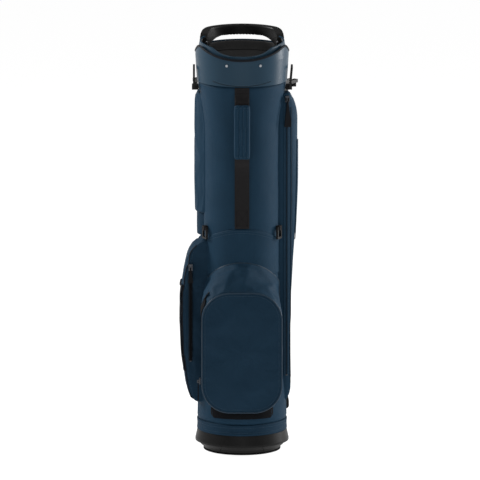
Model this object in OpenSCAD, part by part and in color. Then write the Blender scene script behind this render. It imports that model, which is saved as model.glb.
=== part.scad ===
// Golf stand bag: a slim fabric tube between a moulded top collar and a rocker base, with sewn
// pockets, a lift handle and carry handle, strap rings, and a pair of stand legs at the back.
// The origin is the centre of the foot's underside, +Z is up and the spine faces -Y.

/* [Tube] */
// Radius of the tube over its straight middle
tube_r = 85; // [83:0.5:86]
// Radius of the tube at the base band
tube_base_r = 98.5; // [98:0.5:99]
// Radius of the tube where it meets the collar
tube_top_r = 97; // [96.5:0.5:97.5]
// Thickness of the tube's fabric and foam
tube_wall = 2.2; // [1.6:0.2:2.4]
// Height of the tube's lower seam, on the base band
tube_bottom = 70; // [68:1:74]
// Height where the tube meets the collar
tube_top = 825; // [824:1:827]

/* [Collar] */
// Outer radius of the collar under its piping
collar_r = 102.5; // [102:0.5:103]
// Height of the divider frame's top face
divider_top = 846; // [840:1:850]
// Height of the top face of the carry handle
handle_top = 930.5; // [928:0.5:934]

/* [Base] */
// Radius of the foot on the ground
foot_r = 85; // [83:0.5:86]
// Height of the foot's top face
foot_top = 18.5; // [18:0.5:19]
// Radius of the base cup's skirt at its lower edge
skirt_r = 103; // [102:0.5:104]

/* [Stand] */
// Angle the bag leans at when the stand is open, which is the legs' and the foot's travel
stand_angle = 30; // [26:1:31]
// Turn of the whole stand about the tube's axis
stand_turn = 4; // [0:1:6]
// Distance from the tube's axis to a leg
leg_reach = 112; // [111:0.5:114]
// Angle between a leg and the back of the bag, about the tube's axis
leg_spread = 53; // [50:1:55]
// Angle of each leg's swing off straight back
swing_turn = 30; // [26:1:32]
// Length of a leg from its pivot to the bottom of its rubber foot
leg_length = 729; // [700:1:735]
// Lever arm at the foot and at the legs
lever = 40; // [39:0.5:41]

/* [Pockets] */
// Distance from the tube's axis to the ball pocket's front panel
ball_depth = 137; // [134:1:142]
// Height of the ball pocket's front panel at its top
ball_top = 374; // [370:1:378]
// Half the width of the ball pocket's front panel
ball_half = 88; // [86:0.5:89]

/* [Hidden] */
$fn = 96;

// Colours, as red, green and blue from 0 to 1
NAVY = [0.13, 0.2, 0.26];
NAVY_LIP = [0.12, 0.19, 0.26];
NAVY_PANEL = [0.1, 0.17, 0.23];
BLACK = [0.06, 0.06, 0.065];
GRAPHITE = [0.15, 0.15, 0.15];
STEEL = [0.7, 0.71, 0.72];

// Running clearance of a pin in a hole, and the gap between pieces that move past each other
run = 0.05;
gap = 0.4;

// Outline of the tube from its lower seam up, as [radius, height]
TUBE = [
    [tube_base_r, tube_bottom], [tube_top_r, 130], [86, 230], [tube_r, 240], [tube_r, 735],
    [tube_top_r, tube_top]
];
seam = 82; // angle of the two front seams, from the front
rear_seam = 150; // angle of the two rear seams, from the front

// Collar rim and lip top, seen from the side as [Y, Z]
RIM = [[-112, 877.5], [-48, 904.5], [-36, 904.5], [-5, 888], [20, 885], [112, 885]];
LIP_TOP = [
    [-112, 891], [-92, 892], [-83, 896], [-66, 907], [-40, 911], [0, 913.5], [39.6, 915],
    [40, 888.6], [51, 889.6], [60, 896], [68, 899], [112, 899]
];
collar_low = 800; // lower end of the collar's skirt, inside the tube

band_low = 45; // lower edge of the base band
band_wall = 2.5;
cup_floor = 44; // underside of the cup's floor
hinge_y = 66; // the foot's hinge axis, behind the tube's axis
hinge_z = 12;
rod_y = hinge_y + lever;
rod_x = 12;
rod_r = 2.5;
rod_low = 17.5;
leg_pivot_z = 805;
leg_tube_r = 7;
yoke_top = 800.5;
yoke_low = 792;
pin_r = 3;
ear_x = 8 + gap;
ear_t = 5;

// Plan centre and radius of the right side's long pocket, and of the left upper one
APPAREL = [82, 14, 40];
UPPER = [-60, 12, 43];
zip_w = 9; // half the angle that a zip's tape takes on a pocket's curve
apparel_zip_turn = -67;
apparel_slider_z = 785;

// ---------------------------------------------------------------- helpers

// A [Y, Z] outline made into a slab along X
module side_slab(half) {
    rotate([90, 0, 90]) translate([0, 0, -half]) linear_extrude(2 * half) children();
}

// An [X, Z] outline made into a slab from y0 to y1
module front_slab(y0, y1) {
    translate([0, y1, 0]) rotate([90, 0, 0]) linear_extrude(y1 - y0) children();
}

// Points of a profile pushed in or out along the radius
function shifted(points, by) = [for (p = points) [p[0] + by, p[1]]];
function reversed(points) = [for (i = [len(points) - 1 : -1 : 0]) points[i]];

// The space that the tube, band and collar take, for cutting pockets to fit them
module tube_space(grow = 0.1) {
    rotate_extrude() polygon(concat(
        [[0, 20], [tube_base_r + grow, 20]],
        shifted(TUBE, grow),
        [[99.2 + grow, tube_top], [collar_r + grow, 881], [0, 881]]
    ));
}

// One panel of the tube, between two angles counted from the front towards the right
module tube_panel(from, to) {
    color(NAVY) rotate_extrude(angle = to - from, start = from - 90)
        polygon(concat(TUBE, reversed(shifted(TUBE, -tube_wall))));
}

module rear_frame() {
    rotate([0, 0, -stand_turn]) children();
}

// Puts a leg's piece at its pivot: X runs along the pin and Y points the way the leg swings
module at_leg(side) {
    rear_frame()
        translate([side * leg_reach * sin(leg_spread), leg_reach * cos(leg_spread), leg_pivot_z])
            rotate([0, 0, -side * swing_turn]) children();
}

// Puts a piece on the side of the bag, with its X pointing out
module at_side(angle, reach, height) {
    rotate([0, 0, angle - 90]) translate([reach, 0, height]) children();
}

// A bar along X that is centred on Y and Z
module x_rod(r, x0, x1) {
    translate([x0, 0, 0]) rotate([0, 90, 0]) cylinder(r = r, h = x1 - x0);
}

// A bar along Y that is centred on X and Z
module y_rod(r, half) {
    rotate([90, 0, 0]) cylinder(r = r, h = 2 * half, center = true);
}

// ---------------------------------------------------------------- tube

module spine_panel() {
    tube_panel(-seam, seam);
}

module left_panel() {
    tube_panel(-rear_seam, -seam);
}

module right_panel() {
    tube_panel(seam, rear_seam);
}

module rear_panel() {
    tube_panel(rear_seam, 360 - rear_seam);
}

module base_band() {
    color(NAVY_PANEL) difference() {
        translate([0, 0, band_low]) cylinder(r = tube_base_r, h = tube_bottom - band_low);
        translate([0, 0, band_low - 1])
            cylinder(r = tube_base_r - band_wall, h = tube_bottom - band_low + 2);
    }
}

module yoke_panel() {
    overlay = 1.3;
    low = 400;
    arc_top = 507;
    arc_r = 129;
    color(NAVY) intersection() {
        rotate_extrude(angle = 150, start = -165) translate([tube_r, low])
            square([overlay, 120]);
        front_slab(-100, 0) translate([0, arc_top - arc_r]) circle(r = arc_r);
    }
}

// ---------------------------------------------------------------- collar and mouth

collar_wall = 3;

module below_rim(drop) {
    side_slab(120) translate([0, -drop]) polygon(concat(RIM, [[112, 780], [-112, 780]]));
}

module top_collar() {
    color(NAVY) intersection() {
        rotate_extrude() polygon([
            [89, collar_low], [91.3, collar_low], [94.6, tube_top], [99, tube_top],
            [collar_r, 881], [collar_r, 910], [collar_r - collar_wall, 910],
            [collar_r - collar_wall, 878], [94.5, 836]
        ]);
        below_rim(0);
    }
}

module collar_lip() {
    color(NAVY_LIP) intersection() {
        rotate_extrude() polygon([[99.4, 879], [92.4, 916], [89.6, 916], [96.4, 879]]);
        side_slab(120) polygon(concat(LIP_TOP, [[112, 870], [-112, 870]]));
    }
}

module collar_piping() {
    thick = 3.2;
    color(BLACK) intersection() {
        rotate_extrude() translate([collar_r - 2.6, 870]) square([4.2, 45]);
        side_slab(120) polygon(concat(
            [for (p = RIM) [p[0], p[1] + thick]],
            reversed(RIM)
        ));
    }
}

module collar_lining() {
    color(GRAPHITE) rotate_extrude()
        polygon([[94.3, 837], [99.2, 877.5], [96.3, 877.5], [92.6, 837]]);
}

module collar_rivets() {
    rivet_r = 2.8;
    color(STEEL) for (turn = [-19, 23])
        at_side(turn, 101.2, 872) x_rod(rivet_r, 0.9, 2.6);
}

module top_handle() {
    in_r = 80;
    out_r = 95;
    shift = 18;
    round_r = 5;
    rib_count = 9;
    rib_gap = 7;
    color(BLACK) difference() {
        intersection() {
            translate([0, shift, 0]) rotate_extrude() hull() {
                for (r = [in_r + round_r, out_r - round_r], z = [880, handle_top - round_r])
                    translate([r, z]) circle(r = round_r, $fn = 32);
            }
            side_slab(120) polygon([
                [40, 889.5], [51, 890.5], [60, 897], [68, 901], [76, 905], [84, 908], [125, 908],
                [125, 932], [80, 931], [67, 929.5], [54, 925], [45, 919], [40, 912]
            ]);
        }
        for (i = [0 : rib_count - 1])
            translate([(i - (rib_count - 1) / 2) * rib_gap, 80, 905.4]) y_rod(3.2, 50);
    }
}

module handle_brackets() {
    color(BLACK) difference() {
        for (side = [-1, 1]) intersection() {
            rotate_extrude() translate([82, 889]) square([14, 24]);
            mirror([side < 0 ? 1 : 0, 0, 0]) translate([60, 28, 880]) cube([40, 11.95, 40]);
        }
        rotate_extrude() polygon([[96.3, 879], [89.5, 916], [120, 916], [120, 879]]);
        for (side = [-1, 1], z = [894, 903])
            at_side(side * 111, 80, z) x_rod(2.55, 1, 6);
    }
}

module screws() {
    color(STEEL) {
        for (side = [-1, 1], z = [894, 903])
            at_side(side * 111, 80, z) x_rod(2.5, 1, 4);
        rear_frame() for (side = [-1, 1], z = [789, 815])
            at_side(180 + side * 22, 100, z) x_rod(3, -2, 0.5);
    }
}

module divider_frame() {
    depth = 12;
    bar = 9;
    z = divider_top - depth;
    ring_in = 88.5;
    clip = 0.15;
    color(BLACK) {
        difference() {
            union() {
                difference() {
                    translate([0, 0, z]) cylinder(r = 92, h = depth);
                    translate([0, 0, z - 1]) cylinder(r = ring_in, h = depth + 2);
                }
                for (x = [-1, 1], y = [-1, 1])
                    translate([x * 12 - 6, y * 78.5 - (y > 0 ? 5 : 11), z]) cube([12, 16, depth]);
            }
            for (x = [-12, 12], y = [-78.5, 78.5])
                translate([x, y, z - 1]) cylinder(r = 3, h = 7);
        }
        translate([-bar / 2, clip - ring_in, z]) cube([bar, 2 * (ring_in - clip), depth]);
        for (side = [0, 1]) mirror([side, 0, 0]) translate([bar / 2 + clip, -bar / 2, z])
            cube([ring_in - bar / 2 - 3 * clip, bar, depth]);
    }
}

module divider_sheets() {
    low = 57;
    high = divider_top - 12.5;
    thick = 1.2;
    half = 82;
    color(GRAPHITE) {
        translate([-thick / 2, -half, low]) cube([thick, 2 * half, high - low]);
        for (side = [0, 1]) mirror([side, 0, 0])
            translate([thick / 2 + 0.15, -thick / 2, low])
                cube([half - thick / 2 - 0.15, thick, high - low]);
    }
}

module stay_rods() {
    color(GRAPHITE) for (x = [-12, 12], y = [-78.5, 78.5])
        translate([x, y, 56.2]) cylinder(r = 2.95, h = divider_top - 62.5);
}

// ---------------------------------------------------------------- lift handle

webbing_w = 32;
sleeve_low = 667;
sleeve_high = 788;
sleeve_y = -112;

// The webbing's path, as [Y, Z] of its outer face
LIFT = [
    [-99.6, 823], [-98.6, 804], [-114, 788], [-114, 667], [-90, 640], [-89, 508]
];

module lift_webbing() {
    thick = 1.8;
    color(GRAPHITE) difference() {
        side_slab(webbing_w / 2) polygon(concat(
            LIFT, reversed([for (p = LIFT) [p[0] + thick, p[1]]])
        ));
        tube_space(0);
    }
}

module lift_handle_sleeve() {
    wide = 37;
    deep = 13;
    corner = 5;
    color(NAVY) translate([0, sleeve_y - 1.1, sleeve_low + 1])
        linear_extrude(sleeve_high - sleeve_low - 2) difference() {
            hull() for (x = [-1, 1], y = [-1, 1])
                translate([x * (wide / 2 - corner), y * (deep / 2 - corner)])
                    circle(r = corner, $fn = 32);
            square([webbing_w + 0.6, 2.4], center = true);
        }
}

// ---------------------------------------------------------------- ball pocket

ball_low = 106;
ball_round = 62;
ball_back = -45;

// The front panel's outline, drawn in by a margin
module ball_outline(margin) {
    hull() {
        for (side = [-1, 1]) {
            translate([side * (ball_half - ball_round), ball_top - ball_round])
                circle(r = ball_round - margin);
            translate([side * (ball_half - ball_round), ball_low + ball_round])
                circle(r = ball_round - margin);
        }
    }
}

// The pocket's outline where it meets the tube
module ball_back_outline(margin) {
    hull() {
        translate([0, 414]) circle(r = 66 - margin);
        for (side = [-1, 1]) {
            translate([side * 71, 330]) circle(r = 20 - margin);
            translate([side * 71, 140]) circle(r = 20 - margin);
        }
    }
}

// The gusset's whole volume, from the tube to the front panel
module ball_volume(margin) {
    hull() {
        front_slab(-ball_depth, 1 - ball_depth) ball_outline(margin);
        front_slab(ball_back - 1, ball_back) ball_back_outline(margin);
    }
}

module ball_pocket() {
    wall = 3;
    color(NAVY) difference() {
        ball_volume(0);
        intersection() {
            ball_volume(wall);
            translate([-100, -200, 0]) cube([200, 155, 600]);
        }
        tube_space(1.5);
    }
}

module ball_pocket_front() {
    color(NAVY_PANEL) front_slab(-ball_depth - 3, -ball_depth - 0.1) ball_outline(2);
}

module ball_pocket_piping() {
    color(NAVY_LIP) front_slab(-ball_depth - 2.5, -ball_depth - 0.1) difference() {
        ball_outline(-1.2);
        ball_outline(1.9);
    }
}

ball_zip_x = -89.8;
ball_zip_y = -104;
ball_zip_low = 170;

module ball_zip() {
    color(BLACK) translate([ball_zip_x - 1, ball_zip_y - 7, ball_zip_low - 20])
        cube([1.4, 14, 166]);
}

// A zip's slider at the origin: its tape is on the -X side and the pull's pin runs along Y
module slider() {
    color(GRAPHITE) difference() {
        union() {
            translate([0, -4.5, -6]) cube([3, 9, 14]);
            translate([2.9, -3.5, -3]) cube([4.6, 7, 6]);
        }
        translate([5, 0, 0]) y_rod(1.25, 10);
        translate([3.4, -1.9, -4]) cube([5, 3.8, 8]);
    }
}

// The pull that hangs from a slider's pin
module zip_pull(long, half = 4) {
    color(BLACK) translate([5, 0, 0]) {
        y_rod(1.2, 3.4);
        translate([-0.9, -1.5, -9]) cube([1.8, 3, 9]);
        rotate([90, 0, 90]) translate([0, 0, -1.2]) linear_extrude(2.4) hull() {
            translate([0, -9]) circle(r = 2, $fn = 32);
            for (side = [-1, 1]) translate([side * half, 3 - long]) circle(r = 2, $fn = 32);
        }
    }
}

module at_ball_zip() {
    translate([ball_zip_x - 1 - gap, ball_zip_y, ball_zip_low]) rotate([0, 0, 180]) children();
}

module ball_zip_slider() {
    at_ball_zip() slider();
}

module ball_zip_pull() {
    at_ball_zip() zip_pull(44);
}

// ---------------------------------------------------------------- left side

left_pocket_x = -134;

module left_upper_pocket() {
    color(NAVY) difference() {
        intersection() {
            translate([UPPER[0], UPPER[1], 530]) cylinder(r = UPPER[2], h = 285);
            front_slab(-60, 70) polygon([
                [-103, 530], [-60, 530], [-60, 730], [-84, 730], [-95, 800], [-103, 785]
            ]);
        }
        translate([UPPER[0], UPPER[1], 533]) cylinder(r = UPPER[2] - 3, h = 190);
        tube_space();
    }
}

module left_side_strip() {
    color(NAVY_PANEL) difference() {
        translate([-57, 20, 478]) cylinder(r = 42, h = 51.5);
        translate([-57, 20, 480]) cylinder(r = 40, h = 47);
        tube_space();
    }
}

// The lower pocket's outline from the front, and its plan
LEFT_FRONT = [
    [-60, 110], [-99, 110], [-113, 120], [-121, 152], [-130, 215], [-134, 300], [-132, 354],
    [-128, 388], [-118, 434], [-113, 450], [-86, 474], [-60, 474]
];
left_front_y = -42;
left_back_y = 42;

module left_pocket_plan(margin) {
    corner = 8;
    hull() {
        for (y = [left_front_y + corner, left_back_y - corner])
            translate([left_pocket_x + corner, y]) circle(r = corner - margin, $fn = 32);
        translate([-60, left_front_y + margin]) square([1, left_back_y - left_front_y - 2 * margin]);
    }
}

module left_lower_pocket() {
    wall = 3;
    color(NAVY_PANEL) difference() {
        intersection() {
            translate([0, 0, 100]) linear_extrude(380) left_pocket_plan(0);
            front_slab(-60, 60) polygon(LEFT_FRONT);
        }
        intersection() {
            translate([0, 0, 100]) linear_extrude(380) left_pocket_plan(wall);
            front_slab(-60, 60) translate([wall, 0]) polygon([
                for (p = LEFT_FRONT) [p[0], max(113, min(470, p[1]))]
            ]);
        }
        tube_space(1.5);
    }
}

module left_pocket_panel() {
    color(BLACK) difference() {
        intersection() {
            translate([0, 0, 180]) linear_extrude(190) translate([-1.6, 0]) left_pocket_plan(0);
            front_slab(-36, 36) translate([-1.6, 0]) polygon(LEFT_FRONT);
        }
        translate([-0.1, 0, 0]) intersection() {
            translate([0, 0, 100]) linear_extrude(380) left_pocket_plan(0);
            front_slab(-60, 60) polygon(LEFT_FRONT);
        }
    }
}

left_zip_x = -113;
left_zip_w = 9;

module left_zip() {
    color(BLACK) translate([left_zip_x - left_zip_w / 2, left_front_y - 1.6, 200])
        cube([left_zip_w, 1.5, 222]);
}

module at_left_zip() {
    translate([left_zip_x, left_front_y - 1.6 - gap, 412]) rotate([0, 0, -90]) children();
}

module left_zip_slider() {
    at_left_zip() slider();
}

module left_zip_pull() {
    at_left_zip() zip_pull(34);
}

// ---------------------------------------------------------------- right side

RIGHT_FRONT = [
    [60, 112], [98, 112], [107, 130], [106, 197], [106, 264], [108, 354], [112, 421],
    [117, 488], [121, 600], [122, 640], [122, 745], [118, 765], [109, 785], [103, 797], [60, 797]
];

// The right pocket from the side: its top slopes down at the back, under the leg bracket
APPAREL_SIDE = [[-60, 110], [-60, 800], [16, 800], [28, 780], [70, 780], [70, 110]];

module right_apparel_pocket() {
    wall = 3;
    color(NAVY) difference() {
        intersection() {
            translate([APPAREL[0], APPAREL[1], 112]) cylinder(r = APPAREL[2], h = 700);
            front_slab(-60, 70) polygon(RIGHT_FRONT);
            side_slab(160) polygon(APPAREL_SIDE);
        }
        intersection() {
            translate([APPAREL[0], APPAREL[1], 115]) cylinder(r = APPAREL[2] - wall, h = 665);
            front_slab(-60, 70) translate([-wall, 0]) polygon([
                for (p = RIGHT_FRONT) [p[0], max(115, min(780, p[1]))]
            ]);
        }
        tube_space(1.5);
    }
}

// Puts a piece on the right pocket's curve, at an angle about the pocket's own centre
module on_apparel(turn, z) {
    translate([APPAREL[0], APPAREL[1], z]) rotate([0, 0, turn])
        translate([APPAREL[2], 0, 0]) children();
}

module apparel_band(turn, half, z0, z1, thick) {
    translate([APPAREL[0], APPAREL[1], z0])
        rotate_extrude(angle = 2 * half, start = turn - half)
            translate([APPAREL[2] + 0.1, 0]) square([thick, z1 - z0]);
}

module right_zip() {
    color(BLACK) apparel_band(apparel_zip_turn, zip_w, 165, 794, 1.4);
}

module right_zip_slider() {
    on_apparel(apparel_zip_turn, apparel_slider_z) translate([1.6 + gap, 0, 0]) slider();
}

module right_zip_pull() {
    on_apparel(apparel_zip_turn, apparel_slider_z) translate([1.6 + gap, 0, 0]) zip_pull(62, 6);
}

module right_welt() {
    color(NAVY) intersection() {
        apparel_band(-20, 24, 470, 690, 2.4);
        side_slab(160) polygon([[-22, 470], [-10, 470], [12, 690], [-4, 690]]);
        translate([0, 0, 470]) cylinder(r = 130, h = 220);
    }
}

// ---------------------------------------------------------------- base and foot

module cart_strap_tunnel() {
    color(BLACK) intersection() {
        rotate_extrude(angle = 90, start = -135) translate([tube_base_r + 0.1, 83])
            square([2.4, 22]);
        front_slab(-110, -40) hull() for (side = [-1, 1]) {
            translate([side * 58, 93]) circle(r = 10);
            translate([side * 63, 102]) square(5);
        }
    }
}

// Everything that the tilting foot sweeps under the cup, as a side outline
module foot_room() {
    rear_frame() side_slab(150) polygon([
        [hinge_y - 4, -10], [hinge_y - 4, 19], [125, 56.5], [125, -10]
    ]);
}

module base_cup() {
    color(BLACK) {
        difference() {
            union() {
                difference() {
                    rotate_extrude() polygon([
                        [0, cup_floor], [94.5, cup_floor], [97.5, 20], [skirt_r, 20],
                        [skirt_r, 24], [98.4, band_low], [95.9, band_low], [95.9, 75],
                        [92, 75], [92, cup_floor + 4], [0, cup_floor + 4]
                    ]);
                    foot_room();
                }
                rear_frame() for (side = [-1, 1]) translate([side * 30, 0, 0]) {
                    translate([-4, hinge_y - 6, hinge_z]) cube([8, 12, cup_floor - hinge_z + 1]);
                    translate([0, hinge_y, hinge_z]) x_rod(6, -4, 4);
                }
            }
            rear_frame() translate([0, hinge_y, hinge_z]) x_rod(2.5, -50, 50);
        }
    }
}

module base_floor() {
    color(GRAPHITE) translate([0, 0, cup_floor + 4.1]) cylinder(r = 91.5, h = 7);
}

foot_tread_h = 3.5; // thickness of the rubber tread under the foot

module foot_shell() {
    top = 15.5;
    arch_half = 48;
    color(BLACK) difference() {
        union() {
            difference() {
                rotate_extrude() polygon([
                    [0, foot_tread_h], [foot_r - 1, foot_tread_h], [foot_r + 1, 10],
                    [foot_r + 6, 11], [foot_r + 11, foot_top], [0, foot_top]
                ]);
                translate([0, 0, foot_tread_h - 1]) cylinder(r = 80, h = top - foot_tread_h + 1);
            }
            rear_frame() {
                for (x = [16, 35], side = [0, 1]) mirror([side, 0, 0])
                    translate([x, hinge_y - 8, foot_tread_h]) cube([9, 17, 14]);
                translate([-22, 76, 8]) cube([44, hinge_y + 43 - 76, 8]);
            }
        }
        rear_frame() {
            translate([0, hinge_y, hinge_z]) x_rod(2.5 + run, -45, 45);
            for (side = [-1, 1]) translate([side * 30 - 4.6, hinge_y - 8.4, 4.6])
                cube([9.2, 22, 30]);
        }
        front_slab(-110, -40) difference() {
            scale([1, 1]) circle(r = arch_half + 0.8);
            circle(r = arch_half);
        }
    }
}

module foot_tread() {
    color(GRAPHITE) difference() {
        cylinder(r = foot_r, h = foot_tread_h - 0.1);
        for (y = [-50 : 20 : 50]) translate([-100, y - 1, -1]) cube([200, 2, 2]);
    }
}

module foot_hinge_pin() {
    color(STEEL) rear_frame() translate([0, hinge_y, hinge_z]) x_rod(2.5, -43, 43);
}

// ---------------------------------------------------------------- stand

module leg_bracket() {
    low = 784;
    high = 822;
    color(BLACK) difference() {
        union() {
            rear_frame() rotate_extrude(angle = 130, start = 25) translate([84, low])
                square([15.6, high - low]);
            for (side = [-1, 1]) at_leg(side) for (x = [-ear_x - ear_t, ear_x])
                translate([x, -34, -12]) cube([ear_t, 42, 24]);
        }
        tube_space();
        for (side = [-1, 1]) at_leg(side) {
            x_rod(pin_r, -20, 20);
            translate([-ear_x, -18, -40]) cube([2 * ear_x, 60, 80]);
        }
        rear_frame() for (side = [-1, 1], z = [789, 815])
            at_side(180 + side * 22, 94, z) x_rod(3, 0, 20);
    }
}

module leg_pins() {
    color(STEEL) for (side = [-1, 1]) at_leg(side) x_rod(pin_r, -ear_x - ear_t, ear_x + ear_t);
}

module leg_tube(side) {
    color(GRAPHITE) at_leg(side) translate([0, 0, 20 - leg_length]) difference() {
        cylinder(r = leg_tube_r, h = leg_length - 34);
        translate([0, 0, -1]) cylinder(r = leg_tube_r - 1.2, h = leg_length);
    }
}

module leg_cap(side) {
    color(BLACK) at_leg(side) difference() {
        union() {
            translate([0, 0, -38]) cylinder(r = 8, h = 32);
            x_rod(8, -8, 8);
            translate([-5, 0, -3.5]) cube([10, lever + 5, 7.5]);
        }
        translate([0, 0, -39]) cylinder(r = leg_tube_r, h = 25.1);
        x_rod(pin_r + run, -20, 20);
    }
}

module leg_foot(side) {
    color(BLACK) at_leg(side) translate([0, 0, -leg_length]) difference() {
        union() {
            translate([0, 0, 4]) cylinder(r = 10, h = 12);
            cylinder(r1 = 7, r2 = 10, h = 4);
            translate([0, 0, 16]) cylinder(r1 = 10, r2 = 8, h = 12);
        }
        translate([0, 0, 20]) cylinder(r = leg_tube_r, h = 20);
    }
}

module leg_tube_left() {
    leg_tube(-1);
}

module leg_cap_left() {
    leg_cap(-1);
}

module leg_foot_left() {
    leg_foot(-1);
}

module leg_tube_right() {
    leg_tube(1);
}

module leg_cap_right() {
    leg_cap(1);
}

module leg_foot_right() {
    leg_foot(1);
}

module actuator_rods() {
    color(STEEL) rear_frame() for (x = [-rod_x, rod_x])
        translate([x, rod_y, rod_low]) cylinder(r = rod_r, h = yoke_top - 1 - rod_low);
}

module rod_yoke() {
    color(BLACK) rear_frame() difference() {
        translate([-112, rod_y - 4.5, yoke_low]) cube([224, 10.5, yoke_top - yoke_low]);
        for (x = [-rod_x, rod_x])
            translate([x, rod_y, yoke_low - 1]) cylinder(r = rod_r, h = yoke_top - yoke_low);
    }
}

module rod_guides() {
    color(BLACK) difference() {
        rear_frame() for (z = [170, 270, 668])
            translate([-20, 70, z]) cube([40, rod_y + 5 - 70, 12]);
        tube_space();
        rear_frame() for (x = [-rod_x, rod_x])
            translate([x, rod_y, 100]) cylinder(r = rod_r + run, h = 700);
    }
}

module back_pad() {
    color(NAVY_PANEL) difference() {
        rear_frame() intersection() {
            translate([0, 0, 320]) cylinder(r = 115, h = 320);
            side_slab(58) polygon([[60, 320], [115, 330], [115, 630], [60, 640]]);
        }
        rear_frame() translate([-18, 60, 300]) cube([36, 50, 360]);
        tube_space();
    }
}

// ---------------------------------------------------------------- strap rings

ring_pin = 2.2;

// A ring that stands up from its pivot bar, which lies along Y at the origin
module strap_ring(wide, tall, bar) {
    color(BLACK) {
        y_rod(ring_pin, wide / 2);
        for (side = [-1, 1]) translate([-2.2, side * (wide - bar) / 2 - bar / 2, -ring_pin])
            cube([4.4, bar, tall + ring_pin - 2]);
        translate([-2.2, -wide / 2, tall - bar - 2]) cube([4.4, wide, bar]);
    }
}

upper_ring = [44, 48, 5];
lower_ring = [20, 26, 4];
UPPER_PIVOT = [105.4, 809];
LOWER_PIVOT = [90.6, 501];
lower_ring_turn = 64;
upper_lean = 5;

module at_upper_ring(side) {
    at_side(side * 90, UPPER_PIVOT[0], UPPER_PIVOT[1]) children();
}

module at_lower_ring(side) {
    at_side(side * lower_ring_turn, LOWER_PIVOT[0], LOWER_PIVOT[1]) children();
}

module strap_tabs() {
    module tab(reach, wide) {
        translate([-reach, -wide / 2, -5]) cube([reach + 4.5, wide, 10]);
    }
    color(BLACK) difference() {
        for (side = [-1, 1]) {
            at_upper_ring(side) tab(16, 22);
            at_lower_ring(side) tab(12, 10);
        }
        for (side = [-1, 1]) {
            at_upper_ring(side) y_rod(ring_pin + run, 60);
            at_lower_ring(side) y_rod(ring_pin + run, 60);
        }
        tube_space(1.5);
    }
}

module strap_ring_upper_left() {
    at_upper_ring(-1) strap_ring(upper_ring[0], upper_ring[1], upper_ring[2]);
}

module strap_ring_upper_right() {
    at_upper_ring(1) rotate([0, upper_lean, 0])
        strap_ring(upper_ring[0], upper_ring[1], upper_ring[2]);
}

module strap_ring_lower_left() {
    at_lower_ring(-1) mirror([0, 0, 1]) strap_ring(lower_ring[0], lower_ring[1], lower_ring[2]);
}

module strap_ring_lower_right() {
    at_lower_ring(1) mirror([0, 0, 1]) strap_ring(lower_ring[0], lower_ring[1], lower_ring[2]);
}

spine_panel();
left_panel();
right_panel();
rear_panel();
base_band();
top_collar();
collar_lip();
collar_piping();
collar_lining();
collar_rivets();
top_handle();
handle_brackets();
screws();
divider_frame();
divider_sheets();
stay_rods();
lift_webbing();
lift_handle_sleeve();
yoke_panel();
ball_pocket();
ball_pocket_front();
ball_pocket_piping();
ball_zip();
ball_zip_slider();
ball_zip_pull();
left_upper_pocket();
left_side_strip();
left_lower_pocket();
left_pocket_panel();
left_zip();
left_zip_slider();
left_zip_pull();
right_apparel_pocket();
right_welt();
right_zip();
right_zip_slider();
right_zip_pull();
cart_strap_tunnel();
base_cup();
base_floor();
foot_shell();
foot_tread();
foot_hinge_pin();
leg_bracket();
leg_pins();
rod_guides();
actuator_rods();
rod_yoke();
leg_tube_left();
leg_cap_left();
leg_foot_left();
leg_tube_right();
leg_cap_right();
leg_foot_right();
back_pad();
strap_tabs();
strap_ring_upper_left();
strap_ring_upper_right();
strap_ring_lower_left();
strap_ring_lower_right();
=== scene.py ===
"""Looks of the golf stand bag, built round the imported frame: sewn fabric panels, pockets with
zips and piping, padded pieces, and finishes for the moulded and metal pieces."""

import math

import bpy
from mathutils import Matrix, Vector, noise
from mathutils.bvhtree import BVHTree


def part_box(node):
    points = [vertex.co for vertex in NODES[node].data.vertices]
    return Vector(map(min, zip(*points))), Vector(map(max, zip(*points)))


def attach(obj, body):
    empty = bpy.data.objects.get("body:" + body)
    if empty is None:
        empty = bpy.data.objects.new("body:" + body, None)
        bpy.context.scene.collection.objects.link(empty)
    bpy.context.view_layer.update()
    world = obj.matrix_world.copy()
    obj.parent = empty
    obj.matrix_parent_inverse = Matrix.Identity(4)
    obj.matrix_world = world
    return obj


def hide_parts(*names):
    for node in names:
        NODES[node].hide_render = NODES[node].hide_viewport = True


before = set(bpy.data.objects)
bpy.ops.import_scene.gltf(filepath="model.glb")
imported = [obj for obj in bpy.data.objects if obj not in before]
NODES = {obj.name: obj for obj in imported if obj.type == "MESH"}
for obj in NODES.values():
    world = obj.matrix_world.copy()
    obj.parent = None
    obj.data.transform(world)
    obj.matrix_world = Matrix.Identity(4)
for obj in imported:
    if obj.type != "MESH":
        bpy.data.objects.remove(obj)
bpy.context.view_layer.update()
MM = 0.001
OUT_FRONT = Vector((0, -1, 0))
UP = Vector((0, 0, 1))


# ------------------------------------------------------------------ places

def mm(x, y, z):
    return Vector((x, y, z)) * MM


def around(angle, reach, z):
    """The point at an angle from the front, positive towards +X, in millimetres from the axis."""
    turn = math.radians(angle)
    return mm(reach * math.sin(turn), -reach * math.cos(turn), z)


def box_mm(node):
    lo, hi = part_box(node)
    return lo / MM, hi / MM


def line(points, at):
    """Reads a line of [place, value] points at a place, held level past its ends."""
    if at <= points[0][0]:
        return points[0][1]
    for (a, va), (b, vb) in zip(points, points[1:]):
        if at <= b:
            return va + (vb - va) * (at - a) / (b - a)
    return points[-1][1]


def soft_line(points, at, reach):
    """The same line with its corners eased over a reach."""
    return sum(line(points, at + reach * k / 3) for k in range(-3, 4)) / 7


def profile(node):
    """Outer radius by height of a revolved CAD piece, as [height, radius] points."""
    rings = {}
    for v in NODES[node].data.vertices:
        z = round(v.co.z / MM, 1)
        rings[z] = max(rings.get(z, 0), math.hypot(v.co.x, v.co.y) / MM)
    return sorted(rings.items())


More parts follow.
